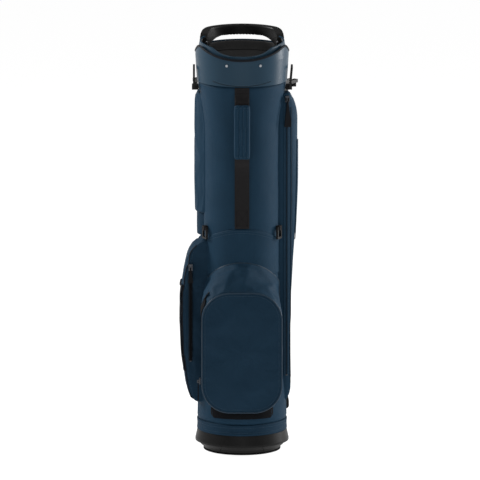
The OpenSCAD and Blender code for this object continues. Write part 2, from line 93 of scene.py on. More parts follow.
TUBE = profile("spine_panel")
TUBE_LOW, TUBE_HIGH = TUBE[0][0], TUBE[-1][0]


def tube_r(z):
    return soft_line(TUBE, min(max(z, TUBE_LOW), TUBE_HIGH), 16 if TUBE_LOW + 20 < z < TUBE_HIGH - 30 else 1)


def ripple(p, size, seed=0.0):
    """Smooth noise from -1 to 1 over a length in millimetres, at a point in metres."""
    return noise.noise(p / (size * MM) + Vector((seed, seed * 1.7, seed * 0.3)))


def even(points, count):
    """A closed outline's points spread evenly along it."""
    loop = points + points[:1]
    reach = [0.0]
    for a, b in zip(loop, loop[1:]):
        reach.append(reach[-1] + math.dist(a, b))
    spread, k = [], 0
    for i in range(count):
        goal = reach[-1] * i / count
        while reach[k + 1] < goal:
            k += 1
        share = (goal - reach[k]) / max(reach[k + 1] - reach[k], 1e-9)
        spread.append(tuple(a + (b - a) * share for a, b in zip(loop[k], loop[k + 1])))
    return spread


def wrap(circles, count):
    """The outline stretched round circles given as (x, y, radius), from its lowest point."""
    points = []
    for i in range(720):
        turn = math.radians(i / 2 - 90)
        c, s = math.cos(turn), math.sin(turn)
        x, y, r = max(circles, key=lambda o: o[0] * c + o[1] * s + o[2])
        points.append((x + r * c, y + r * s))
    return even(points, count)


def eased(points, times):
    """An open path with its corners cut smooth."""
    for _ in range(times):
        cut = [points[0]]
        for a, b in zip(points, points[1:]):
            cut += [a.lerp(b, 0.25), a.lerp(b, 0.75)]
        points = cut + [points[-1]]
    return points


# ------------------------------------------------------------------ finishes

def tone(red, green, blue, gain=1.0):
    """A colour given as it looks on a screen, from 0 to 255, as the linear values that Blender takes."""
    def linear(c):
        c /= 255
        return (c / 12.92 if c <= 0.04045 else ((c + 0.055) / 1.055) ** 2.4) * gain
    return (linear(red), linear(green), linear(blue), 1.0)


class Finish:
    """A procedural material: a colour that varies a little, an uneven gloss and a fine relief."""

    def __init__(self, name, colour, roughness, spread=0.12, metallic=0.0, specular=0.05, sheen=0.0):
        self.material = bpy.data.materials.new(name)
        self.material.use_nodes = True
        self.tree = self.material.node_tree
        self.shader = self.tree.nodes["Principled BSDF"]
        self.shader.inputs["Metallic"].default_value = metallic
        self.shader.inputs["Specular IOR Level"].default_value = specular
        self.shader.inputs["Sheen Weight"].default_value = sheen
        self.shader.inputs["Sheen Roughness"].default_value = 0.45
        self.place = self.tree.nodes.new("ShaderNodeTexCoord").outputs["Object"]
        mix = self.node("ShaderNodeMix", data_type="RGBA")
        mix.inputs[6].default_value = tuple(c * (1 - spread) for c in colour[:3]) + (1.0,)
        mix.inputs[7].default_value = tuple(min(c * (1 + spread), 1) for c in colour[:3]) + (1.0,)
        self.join(self.noise(22, 5), mix.inputs[0])
        self.join(mix.outputs[2], self.shader.inputs["Base Color"])
        gloss = self.ranged(self.noise(70, 3), roughness - 0.06, roughness + 0.08)
        self.join(gloss, self.shader.inputs["Roughness"])

    def node(self, kind, **settings):
        made = self.tree.nodes.new(kind)
        for key, value in settings.items():
            setattr(made, key, value)
        return made

    def join(self, output, target):
        self.tree.links.new(output, target)

    def noise(self, scale, detail):
        made = self.node("ShaderNodeTexNoise")
        made.inputs["Scale"].default_value = scale
        made.inputs["Detail"].default_value = detail
        self.join(self.place, made.inputs["Vector"])
        return made.outputs["Fac"]

    def ranged(self, value, low, high):
        made = self.node("ShaderNodeMapRange")
        made.inputs["To Min"].default_value = low
        made.inputs["To Max"].default_value = high
        self.join(value, made.inputs["Value"])
        return made.outputs["Result"]

    def added(self, a, b):
        made = self.node("ShaderNodeMath", operation="ADD")
        self.join(a, made.inputs[0])
        self.join(b, made.inputs[1])
        return made.outputs[0]

    def wave(self, direction, pitch):
        made = self.node("ShaderNodeTexWave", bands_direction=direction)
        made.inputs["Scale"].default_value = 2 * math.pi / (20 * pitch * MM)
        self.join(self.place, made.inputs["Vector"])
        return made.outputs["Fac"]

    def relief(self, height, depth, strength=0.6):
        bump = self.node("ShaderNodeBump")
        bump.inputs["Distance"].default_value = depth * MM
        bump.inputs["Strength"].default_value = strength
        self.join(height, bump.inputs["Height"])
        self.join(bump.outputs["Normal"], self.shader.inputs["Normal"])
        return self

    def woven(self, pitch, depth):
        """Threads that cross on every face, whichever way it points."""
        threads = self.added(self.added(self.wave("X", pitch), self.wave("Y", pitch)), self.wave("Z", pitch))
        return self.relief(self.added(threads, self.noise(300, 2)), depth)

    def grained(self, scale, depth):
        return self.relief(self.noise(scale, 6), depth)


FINISH = {
    "navy_fabric": Finish("navy_fabric", tone(27, 51, 69), 0.56).woven(0.9, 0.12),
    "navy_moulding": Finish("navy_moulding", tone(28, 54, 71), 0.34, 0.06, specular=0.16).grained(900, 0.05),
    "navy_panel": Finish("navy_panel", tone(25, 47, 64), 0.6).woven(0.9, 0.12),
    "mesh": Finish("mesh", tone(7, 8, 12), 0.75, 0.3).woven(2.4, 0.6),
    "back_padding": Finish("back_padding", tone(26, 40, 54), 0.8, sheen=0.02).woven(2.6, 0.4),
    "black_plastic": Finish("black_plastic", tone(24, 24, 24), 0.42, 0.1, specular=0.12).grained(1100, 0.06),
    "webbing": Finish("webbing", tone(35, 34, 35), 0.7, 0.15).woven(1.5, 0.3),
    "piping": Finish("piping", tone(26, 29, 34), 0.45, 0.1).woven(0.8, 0.1),
    "lining": Finish("lining", tone(88, 88, 88), 0.85, 0.2).grained(500, 0.15),
    "zip_tape": Finish("zip_tape", tone(14, 15, 18), 0.7, 0.2).woven(0.7, 0.12),
    "zip_metal": Finish("zip_metal", tone(70, 72, 76), 0.35, 0.1, metallic=0.9).grained(900, 0.03),
    "zip_pull": Finish("zip_pull", tone(22, 23, 26), 0.45, 0.12).grained(900, 0.05),
    "rubber": Finish("rubber", tone(17, 17, 18), 0.75, 0.2).grained(700, 0.12),
    "steel": Finish("steel", tone(165, 168, 172), 0.3, 0.08, metallic=1.0).grained(1300, 0.02),
    "leg_aluminium": Finish("leg_aluminium", tone(52, 54, 58), 0.35, 0.1, metallic=0.9).grained(1300, 0.02),
    "fibreglass": Finish("fibreglass", tone(44, 45, 44), 0.45, 0.15).grained(600, 0.04),
}
NAVY_BEAD = Finish("navy_bead", tone(27, 48, 64), 0.36, 0.06, specular=0.2).grained(900, 0.03)
THREAD = Finish("thread", tone(62, 80, 96), 0.6, 0.1).grained(2500, 0.05)


# ------------------------------------------------------------------ making pieces

def piece(name, slot, verts, faces, body="bag"):
    """A mesh piece with a finish, riding on a body."""
    mesh = bpy.data.meshes.new(name)
    mesh.from_pydata(verts, [], faces)
    mesh.polygons.foreach_set("use_smooth", [True] * len(mesh.polygons))
    mesh.materials.append(FINISH[slot].material)
    obj = bpy.data.objects.new(name, mesh)
    bpy.context.scene.collection.objects.link(obj)
    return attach(obj, body)


def skin_faces(rows, count, closed):
    """Quads between rows of points, and from the last column to the first when closed."""
    faces = []
    for i in range(rows - 1):
        for j in range(count if closed else count - 1):
            k = (j + 1) % count
            faces.append((i * count + j, i * count + k, (i + 1) * count + k, (i + 1) * count + j))
    return faces


def sheet(name, slot, rows, thick, body="bag"):
    """An open skin of points given a thickness inwards. Rows go up and columns to the right."""
    verts = [p for row in rows for p in row]
    obj = piece(name, slot, verts, skin_faces(len(rows), len(rows[0]), False), body)
    solid = obj.modifiers.new("thickness", "SOLIDIFY")
    solid.thickness = thick * MM
    solid.offset = -1
    return obj


def solid(name, slot, rows, body="bag"):
    """A closed form through rings that all have the same number of points."""
    count = len(rows[0])
    faces = skin_faces(len(rows), count, True)
    faces.append(tuple(reversed(range(count))))
    faces.append(tuple((len(rows) - 1) * count + j for j in range(count)))
    return piece(name, slot, [p for row in rows for p in row], faces, body)


CAP_STEPS = (0.8, 0.5, 0.2, 0.03)


def stack(name, slot, outline, z0, z1, edge=6, step=7, body="bag"):
    """A closed form from level outlines: outline(z) gives [x, y] points, and edge rounds the ends."""
    levels = [z0 + edge * (1 - math.cos(math.radians(a))) for a in range(0, 90, 18)]
    middle = max(2, round((z1 - z0 - 2 * edge) / step))
    levels += [z0 + edge + (z1 - z0 - 2 * edge) * i / middle for i in range(middle + 1)]
    levels += [z1 - edge * (1 - math.cos(math.radians(a))) for a in range(72, -1, -18)]
    rows = []
    for z in levels:
        left = max(0.0, edge - min(z - z0, z1 - z))
        inset = edge - math.sqrt(max(0.0, edge * edge - left * left))
        points = outline(z)
        cx = sum(p[0] for p in points) / len(points)
        cy = sum(p[1] for p in points) / len(points)
        ring = []
        for x, y in points:
            far = math.hypot(x - cx, y - cy)
            keep = (far - inset) / far
            ring.append(mm(cx + (x - cx) * keep, cy + (y - cy) * keep, z))
        rows.append(ring)
    return solid(name, slot, capped(rows), body)


def capped(rows):
    """Adds rings that close each end of a form towards its middle."""
    def cap(ring):
        centre = sum(ring, Vector()) / len(ring)
        return [[centre.lerp(p, share) for p in ring] for share in CAP_STEPS]
    return cap(rows[0])[::-1] + rows + cap(rows[-1])


def relax(obj, sewn, pressure, growth=0.02, cap=5, frames=14):
    """Lets a sewn piece settle as cloth: the points where sewn() is true stay, the rest fill and pucker."""
    rest = [v.co.copy() for v in obj.data.vertices]
    fixed = [i for i, p in enumerate(rest) if sewn(p / MM)]
    obj.vertex_groups.new(name="sewn").add(fixed, 1.0, "REPLACE")
    cloth = obj.modifiers.new("cloth", "CLOTH")
    made = cloth.settings
    made.quality = 5
    made.mass = 0.25
    made.tension_stiffness = made.compression_stiffness = made.shear_stiffness = 25
    made.bending_stiffness = 1.5
    made.vertex_group_mass = "sewn"
    made.use_pressure = True
    made.uniform_pressure_force = pressure
    made.shrink_min = -growth
    made.effector_weights.gravity = 0
    cloth.collision_settings.use_collision = False
    cloth.collision_settings.use_self_collision = False
    scene = bpy.context.scene
    for f in range(1, frames + 1):
        scene.frame_set(f)
    settled = obj.evaluated_get(bpy.context.evaluated_depsgraph_get())
    moved = [v.co.copy() for v in settled.data.vertices]
    obj.modifiers.remove(cloth)
    scene.frame_set(1)
    for v, start, end in zip(obj.data.vertices, rest, moved):
        step = end - start
        if step.length > cap * MM:
            step *= cap * MM / step.length
        v.co = start + step
    return obj


def sewn_to_tube(low, high):
    """What tells relax that a point is sewn: it is at the tube or at the piece's top or bottom."""
    return lambda p: math.hypot(p.x, p.y) < tube_r(p.z) + 2 or min(p.z - low, high - p.z) < 3


def wrinkle(obj, depth, size, seed, stretch=Vector((1, 1, 1)), where=lambda p: 1.0):
    """Shallow folds along the surface's own normals."""
    obj.data.update()
    shift = []
    for v in obj.data.vertices:
        at = Vector(a * b for a, b in zip(v.co, stretch))
        shift.append(v.normal * (depth * MM * ripple(at, size, seed) * where(v.co / MM)))
    for v, move in zip(obj.data.vertices, shift):
        v.co += move
    return obj


def surface(obj):
    """What finds the nearest point of a piece, and the way it faces there."""
    return BVHTree.FromObject(obj, bpy.context.evaluated_depsgraph_get())


def frames_along(path, closed, start=UP):
    """A direction along and two across at each point of a path, turning as little as they can."""
    count = len(path)
    found, side = [], start
    for i in range(count):
        if closed:
            along = path[(i + 1) % count] - path[i - 1]
        else:
            along = path[min(i + 1, count - 1)] - path[max(i - 1, 0)]
        along = along.normalized()
        side = (side - along * side.dot(along)).normalized()
        found.append((along, side, along.cross(side)))
    return found


def bead(name, slot, path, radius, closed=False, body="bag", tall=1.0, start=UP, sides=10):
    """A round bead along a path, such as piping, with its height stretched by tall."""
    rows = []
    for p, (_, side, other) in zip(path, frames_along(path, closed, start)):
        ring = []
        for k in range(sides):
            turn = 2 * math.pi * k / sides
            ring.append(p + (side * math.cos(turn) * tall + other * math.sin(turn)) * radius * MM)
        rows.append(ring)
    if closed:
        faces = skin_faces(len(rows), sides, True)
        last = (len(rows) - 1) * sides
        faces += [(last + j, last + (j + 1) % sides, (j + 1) % sides, j) for j in range(sides)]
        return piece(name, slot, [p for row in rows for p in row], faces, body)
    return solid(name, slot, rows, body)


def walk(path, pitch):
    """Points at even steps along a path, each with its direction and the number of its stretch."""
    spots, left = [], pitch / 2
    for k, (a, b) in enumerate(zip(path, path[1:])):
        span = (b - a).length / MM
        while left <= span:
            spots.append((a.lerp(b, left / span), (b - a).normalized(), k))
            left += pitch
        left -= span
    return spots


STITCH = 3.4
STITCH_LONG = 2.3
STITCH_R = 0.34


def stitches(name, slot, path, tree, body="bag", finish=THREAD):
    """A row of sewn stitches that lie on a surface along a path."""
    verts, faces = [], []
    for p, along, _ in walk(path, STITCH):
        spot, out, _, _ = tree.find_nearest(p)
        if spot is None:
            continue
        along = (along - out * along.dot(out)).normalized()
        across = along.cross(out)
        base = len(verts)
        centre = spot + out * (0.1 * MM)
        for end in (-1, 1):
            mid = centre + along * (end * 0.32 * STITCH_LONG * MM)
            for a, b in ((1, 0), (0, 1), (-1, 0), (0, -1)):
                verts.append(mid + (across * a + out * b) * STITCH_R * MM)
        for end in (-1, 1):
            verts.append(centre + along * (end * 0.5 * STITCH_LONG * MM) - out * (0.2 * MM))
        for k in range(4):
            n = (k + 1) % 4
            faces.append((base + k, base + n, base + 4 + n, base + 4 + k))
            faces.append((base + n, base + k, base + 8))
            faces.append((base + 4 + k, base + 4 + n, base + 9))
    obj = piece(name, slot, verts, faces, body)
    obj.data.materials[0] = finish.material
    return obj


def blocks(name, slot, spots, body="bag"):
    """Small bevelled blocks in one piece: each is a centre, three directions and three half sizes."""
    verts, faces = [], []
    for centre, axes, half in spots:
        base = len(verts)
        for sx in (-1, 1):
            for sy in (-1, 1):
                for sz in (-1, 1):
                    offset = axes[0] * sx * half[0] + axes[1] * sy * half[1] + axes[2] * sz * half[2]
                    verts.append(centre + offset * MM)
        for face in ((0, 1, 3, 2), (4, 6, 7, 5), (0, 4, 5, 1), (2, 3, 7, 6), (0, 2, 6, 4), (1, 5, 7, 3)):
            faces.append(tuple(base + k for k in face))
    obj = piece(name, slot, verts, faces, body)
    bevel = obj.modifiers.new("bevel", "BEVEL")
    bevel.width = 0.25 * MM
    bevel.segments = 1
    return obj


def zipper(name, node, path, outs, wide, tape_slot="zip_tape"):
    """A zip along a path that faces outs: a woven tape, sewn edges, two rows of teeth and end stops."""
    ways = [(path[min(i + 1, len(path) - 1)] - path[max(i - 1, 0)]).normalized() for i in range(len(path))]
    rows = []
    for p, along, out in zip(path, ways, outs):
        across = along.cross(out)
        rows.append([p + (across * wide * (k / 8 - 0.5) + out * (0.25 - abs(k - 4) / 16)) * MM
                     for k in range(9)])
    tape = sheet(name + "_tape", tape_slot, rows, 0.9)
    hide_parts(node)
    teeth = []
    for i, (p, along, k) in enumerate(walk(path, 1.5)):
        side = 1 if i % 2 else -1
        across = along.cross(outs[k])
        centre = p + (across * side * 0.8 + outs[k] * 0.45) * MM
        teeth.append((centre, (across, along, outs[k]), (1.3, 0.5, 0.55)))
    blocks(name + "_teeth", "zip_pull", teeth)
    stops = [(path[k] + outs[k] * 0.5 * MM, (ways[k].cross(outs[k]), ways[k], outs[k]), (2.4, 1.2, 0.7))
             for k in (0, -1)]
    blocks(name + "_stops", "zip_metal", stops)
    tree = surface(tape)
    for column, word in ((1, "left"), (7, "right")):
        stitches(f"{name}_stitch_{word}", "piping", [row[column] for row in rows], tree)
    return tape


def upright(x, y, low, high, step=6):
    """A straight path up, in millimetres."""
    count = round((high - low) / step)
    return [mm(x, y, low + (high - low) * i / count) for i in range(count + 1)]


# ------------------------------------------------------------------ camera, light and floor

CAMERA_AWAY = 25.0
CAMERA_LIFT = math.radians(11)
VIEW_WIDE = 1.056
SENSOR = 36.0
AIM = Vector((-0.0044, 0, 0.466))


def studio():
    scene = bpy.context.scene
    scene.view_settings.view_transform = "Standard"
    data = bpy.data.cameras.new("camera")
    data.sensor_width = SENSOR
    data.lens = SENSOR * CAMERA_AWAY / VIEW_WIDE
    data.clip_end = 150
    camera = bpy.data.objects.new("camera", data)
    scene.collection.objects.link(camera)
    camera.location = AIM + Vector((0, -math.cos(CAMERA_LIFT), math.sin(CAMERA_LIFT))) * CAMERA_AWAY
    camera.rotation_euler = (AIM - camera.location).to_track_quat("-Z", "Y").to_euler()
    scene.camera = camera

    world = bpy.data.worlds.new("world")
    scene.world = world
    world.use_nodes = True
    tree = world.node_tree
    lit = tree.nodes["Background"]
    lit.inputs["Color"].default_value = (1, 1, 1, 1)
    lit.inputs["Strength"].default_value = 0.12
    seen = tree.nodes.new("ShaderNodeBackground")
    seen.inputs["Strength"].default_value = 1.0
    rays = tree.nodes.new("ShaderNodeLightPath")
    pick = tree.nodes.new("ShaderNodeMixShader")
    tree.links.new(rays.outputs["Is Camera Ray"], pick.inputs[0])
    tree.links.new(lit.outputs[0], pick.inputs[1])
    tree.links.new(seen.outputs[0], pick.inputs[2])
    tree.links.new(pick.outputs[0], tree.nodes["World Output"].inputs[0])

    def softbox(name, place, aim, wide, tall, power):
        light = bpy.data.lights.new(name, "AREA")
        light.shape = "RECTANGLE"
        light.size = wide
        light.size_y = tall
        light.energy = power
        lamp = bpy.data.objects.new(name, light)
        scene.collection.objects.link(lamp)
        lamp.location = place
        lamp.rotation_euler = (Vector(aim) - Vector(place)).to_track_quat("-Z", "Y").to_euler()

    softbox("overhead", (0, -0.2, 3.2), (0, 0, 0), 4.0, 4.0, 44)
    softbox("left_strip", (-2.0, 0.75, 1.7), (0, 0, 0.9), 0.4, 0.7, 58)
    softbox("right_strip", (2.2, 0.75, 1.1), (0, 0, 0.7), 0.5, 1.6, 60)
    softbox("front_fill", (0, -3.6, 0.9), (0, 0, 0.4), 2.4, 1.6, 13)

    paper = Finish("floor_paper", (0.25, 0.25, 0.25, 1), 0.9, 0.01, specular=0.0).grained(40, 0.02)
    paper.shader.inputs["Emission Color"].default_value = (1, 1, 1, 1)
    paper.shader.inputs["Emission Strength"].default_value = 0.95
    half = 60.0
    mesh = bpy.data.meshes.new("floor")
    corners = [(-half, -half, 0), (half, -half, 0), (half, half, 0), (-half, half, 0)]
    mesh.from_pydata(corners, [], [(0, 1, 2, 3)])
    mesh.materials.append(paper.material)
    floor = bpy.data.objects.new("floor", mesh)
    scene.collection.objects.link(floor)
    floor.location.z = -0.0004


# ------------------------------------------------------------------ frame pieces that are shown

BEVELS = {
    "top_collar": 1.0, "collar_lip": 1.1, "top_handle": 1.2, "handle_brackets": 1.0, "base_cup": 1.0,
    "foot_shell": 0.8, "foot_tread": 0.6, "leg_bracket": 1.2, "rod_yoke": 1.2, "rod_guides": 1.0,
    "leg_cap_left": 0.8, "leg_cap_right": 0.8, "leg_foot_left": 0.6, "leg_foot_right": 0.6,
    "strap_ring_upper_left": 0.9, "strap_ring_upper_right": 0.9,
    "strap_ring_lower_left": 0.8, "strap_ring_lower_right": 0.8,
    "ball_zip_slider": 0.4, "left_zip_slider": 0.4, "right_zip_slider": 0.4,
    "ball_zip_pull": 0.5, "left_zip_pull": 0.5, "right_zip_pull": 0.5,
    "screws": 0.3, "collar_rivets": 0.4, "divider_frame": 1.0, "strap_tabs": 1.0,
}
BEVEL_ANGLE = math.radians(35)


def dress_frame():
    """Gives every CAD piece its finish, and breaks the sharp edges of the moulded ones."""
    for name, obj in NODES.items():
        slot = obj.data.materials[0].name.split(".")[0]
        obj.data.materials[0] = FINISH[slot].material
        if name in BEVELS:
            bevel = obj.modifiers.new("edges", "BEVEL")
            bevel.width = BEVELS[name] * MM
            bevel.segments = 2
            bevel.limit_method = "ANGLE"
            bevel.angle_limit = BEVEL_ANGLE


# ------------------------------------------------------------------ tube

PANELS = {
    "spine_panel": (-82, 82), "right_panel": (82, 150), "rear_panel": (150, 210), "left_panel": (210, 278),
}
SEAM_DIP = 1.4
TUBE_CLOTH = 2.0


def tube_point(angle, z, gap):
    """A point of the tube's skin; gap is its distance from the nearest seam."""
    dip = SEAM_DIP * math.exp(-((gap / 3.2) ** 2))
    flat = around(angle, 90, z)
    soft = 1 - math.exp(-((gap / 14) ** 2))
    sag = 0.9 * ripple(flat, 90, 3) + 0.35 * ripple(flat, 26, 7)
    return around(angle, tube_r(z) - dip + sag * soft, z)


def tube():
    for name, (a0, a1) in PANELS.items():
        rows = []
        columns = max(24, round((a1 - a0) / 2))
        levels = 108
        for i in range(levels + 1):
            z = TUBE_LOW + (TUBE_HIGH - TUBE_LOW) * i / levels
            row = []
            for j in range(columns + 1):
                share = j / columns
                share -= 0.09 * math.sin(2 * math.pi * share)
                angle = a0 + (a1 - a0) * share
                side = math.radians(min(angle - a0, a1 - angle)) * tube_r(z)
                row.append(tube_point(angle, z, min(side, z - TUBE_LOW, TUBE_HIGH - z)))
            rows.append(row)
        panel = sheet(name + "_cloth", "navy_fabric", rows, TUBE_CLOTH)
        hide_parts(name)
        tree = surface(panel)
        for edge, sign, word in ((a0, 1, "left"), (a1, -1, "right")):
            turn = edge + sign * math.degrees(5 / 86)
            path = [around(turn, tube_r(z), z) for z in range(80, 816, 5)]
            stitches(f"{name}_stitch_{word}", "piping", path, tree)


def band():
    """The base band, with a rolled hem at each edge."""
    lo, hi = box_mm("base_band")
    reach = hi.x
    outline = [(-2.4, 0), (-0.3, 0.4), (0.8, 2.2), (0.5, 4.6), (0.1, 6), (0.1, hi.z - lo.z - 6),
               (0.5, hi.z - lo.z - 4.6), (0.8, hi.z - lo.z - 2), (-0.3, hi.z - lo.z), (-2.4, hi.z - lo.z)]
    rows = []
    for turn in range(0, 360, 2):
        flat = around(turn, 90, 60)
        wave = 0.25 * ripple(flat, 30, 5)
        rows.append([around(turn, reach + out + (wave if out > -1 else 0), lo.z + up) for out, up in outline])
    rows = [list(column) for column in zip(*rows)]
    count = len(rows[0])
    faces = skin_faces(len(rows), count, True)
    last = (len(rows) - 1) * count
    faces += [(last + j, last + (j + 1) % count, (j + 1) % count, j) for j in range(count)]
    obj = piece("base_band_cloth", "navy_panel", [p for row in rows for p in row], faces)
    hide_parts("base_band")
    tree = surface(obj)
    for z in (lo.z + 7, hi.z - 7):
        path = [around(a, reach, z) for a in range(0, 362, 2)]
        stitches(f"base_band_stitch_{round(z)}", "piping", path, tree)


# ------------------------------------------------------------------ collar trims

RIM = [(-112, 877.5), (-48, 904.5), (-36, 904.5), (-5, 888), (20, 885), (112, 885)]
COLLAR_SEAM_REACH = 40
LIP_LOW = 874
LIP_INNER = [(879, 96.4), (916, 89.6)]
LIP_TOP = [(-60, 909), (0, 913.5), (39.6, 915), (40, 888.6), (51, 889.6), (60, 896), (68, 899), (112, 899)]


def collar_trims():
    reach = box_mm("collar_piping")[1].x - 2.2
    path = []
    for turn in range(0, 360, 2):
        y = -reach * math.cos(math.radians(turn))
        path.append(around(turn, reach, soft_line(RIM, y, 5) + 2.2))
    cord = bead("collar_piping_bead", "piping", path, 2.1, closed=True, tall=1.25)
    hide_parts("collar_piping")
    liner = []
    for i in range(9):
        row = []
        for turn in range(56, 305, 4):
            y = -96 * math.cos(math.radians(turn))
            top = soft_line(LIP_TOP, y, 3) - 3
            z = LIP_LOW + (top - LIP_LOW) * i / 8
            row.append(around(turn, line(LIP_INNER, z) - 0.5, z))
        liner.append(row)
    sheet("mouth_liner", "lining", [row[::-1] for row in liner], 0.8)
    skirt = box_mm("top_collar")[1].x
    seam = []
    for turn in range(-COLLAR_SEAM_REACH, COLLAR_SEAM_REACH + 1, 2):
        z = 826.5 + 8 * (turn / COLLAR_SEAM_REACH) ** 2
        seam.append(around(turn, line([(825, 99), (881, skirt)], z) - 0.05, z))
    bead("collar_seam", "piping", seam, 0.55, sides=6)
    tree = surface(NODES["top_collar"])
    stitches("collar_seam_stitch", "piping", [p + UP * 3 * MM for p in seam], tree)


# ------------------------------------------------------------------ lift handle

LIFT = [(-99.6, 823), (-98.6, 804), (-114, 788), (-114, 667), (-90, 640), (-89, 508)]


def lift_handle():
    half = box_mm("lift_webbing")[1].x
    path = eased([mm(0, y, z) for y, z in LIFT], 3)
    rows = []
    for p, (along, side, _) in zip(path, frames_along(path, False, OUT_FRONT)):
        row = []
        for k in range(13):
            x = (k / 6 - 1) * half
            roll = 0.35 * (abs(k / 6 - 1) ** 6)
            spot = p + Vector((x, 0, 0)) * MM
            row.append(spot + side * (0.15 * ripple(spot, 9, 4) - roll) * MM)
        rows.append(row)
    strap = sheet("lift_webbing_strap", "webbing", rows[::-1], 1.7)
    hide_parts("lift_webbing")
    tree = surface(strap)
    box_low, box_high = 514, 548
    for word, corners in (
        ("frame", [(-12, box_low), (12, box_low), (12, box_high), (-12, box_high), (-12, box_low)]),
        ("cross", [(-12, box_low), (12, box_high)]),
        ("cross_back", [(12, box_low), (-12, box_high)]),
        ("top", [(-12, 818), (12, 818)]),
        ("top_low", [(-12, 812), (12, 812)]),
    ):
        path = [mm(x, -90 if z < 700 else -99, z) for x, z in corners]
        stitches("lift_webbing_stitch_" + word, "webbing", path, tree, finish=FINISH["zip_tape"])

    lo, hi = box_mm("lift_handle_sleeve")
    cy = (lo.y + hi.y) / 2
    half_x, half_y = (hi.x - lo.x) / 2 - 1, (hi.y - lo.y) / 2 - 0.8

    channels = (-7, 1.2, 9.4)

    def outline(z):
        nip = 0.93 + 0.07 * min(1, min(z - lo.z, hi.z - z) / 12)
        corner = half_y * 0.9
        points = wrap([(x * (half_x - corner) * nip, cy + y * (half_y - corner), corner * nip)
                       for x in (-1, 1) for y in (-1, 1)], 120)
        return [(x, y + 1.5 * max(math.exp(-(((x - c) / 1.4) ** 2)) for c in channels) if y < cy else y)
                for x, y in points]

    sleeve = stack("lift_sleeve_pad", "navy_fabric", outline, lo.z, hi.z, edge=3.2, step=4)
    wrinkle(sleeve, 0.4, 20, 2, Vector((1, 1, 0.4)))
    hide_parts("lift_handle_sleeve")
    tree = surface(sleeve)
    for x in channels:
        path = [mm(x, cy - 10, lo.z + 6), mm(x, cy - 10, hi.z - 6)]
        stitches(f"lift_sleeve_stitch_{round(x)}", "piping", path, tree)
    for z, word in ((lo.z + 5, "low"), (hi.z - 5, "high")):
        path = [mm(-half_x + 3, cy - 10, z), mm(half_x - 3, cy - 10, z)]
        stitches("lift_sleeve_stitch_" + word, "piping", path, tree)


# ------------------------------------------------------------------ yoke

YOKE_LOW = 400
YOKE_ARC = (378, 129)
YOKE_HALF = 75


def yoke():
    reach = box_mm("yoke_panel")[1].x / math.sin(math.radians(YOKE_HALF))

    def top(turn):
        x = reach * math.sin(math.radians(turn))
        return YOKE_ARC[0] + math.sqrt(YOKE_ARC[1] ** 2 - x * x)

    rows = []
    for i in range(41):
        row = []
        for turn in range(-YOKE_HALF, YOKE_HALF + 1, 2):
            z = YOKE_LOW + (top(turn) - YOKE_LOW) * i / 40
            edge = top(turn) - z
            roll = 0.5 * math.exp(-(((edge - 2.4) / 1.6) ** 2)) - 0.6 * math.exp(-((edge / 0.9) ** 2))
            flat = around(turn, 90, z)
            row.append(around(turn, reach + roll + 0.35 * ripple(flat, 60, 9), z))
        rows.append(row)
    panel = sheet("yoke_cloth", "navy_fabric", rows, 1.6)
    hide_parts("yoke_panel")
    tree = surface(panel)
    for drop in (4.5, 9.5):
        path = [around(a, reach, top(a) - drop) for a in range(-YOKE_HALF + 2, YOKE_HALF - 1, 2)]
        stitches(f"yoke_stitch_{round(drop)}", "piping", path, tree)


# ------------------------------------------------------------------ ball pocket

BALL_COUNT = 200
BALL_ROUND = 62
LEFT_SHOULDER_X = -40
LEFT_SHOULDER_LOW = 285
GUSSET_BACK_Y = -23


def ball_outline(margin):
    """The front panel's outline, drawn in by a margin."""
    lo = box_mm("ball_pocket")[0]
    front = box_mm("ball_pocket_front")[1]
    half, top = front.x + 2, front.z + 2
    return wrap([(side * (half - BALL_ROUND), z, BALL_ROUND - margin)
                 for side in (-1, 1) for z in (lo.z + BALL_ROUND, top - BALL_ROUND)], BALL_COUNT)


def ball_seam():
    """Where the gusset is sewn to the tube: an arch over straight sides, as [x, z] points."""
    half = 82
    arch = wrap([(0, 343, 89), (-60, 140, 22), (60, 140, 22)], BALL_COUNT)
    return [(max(-half, min(half, x)), z) for x, z in arch]


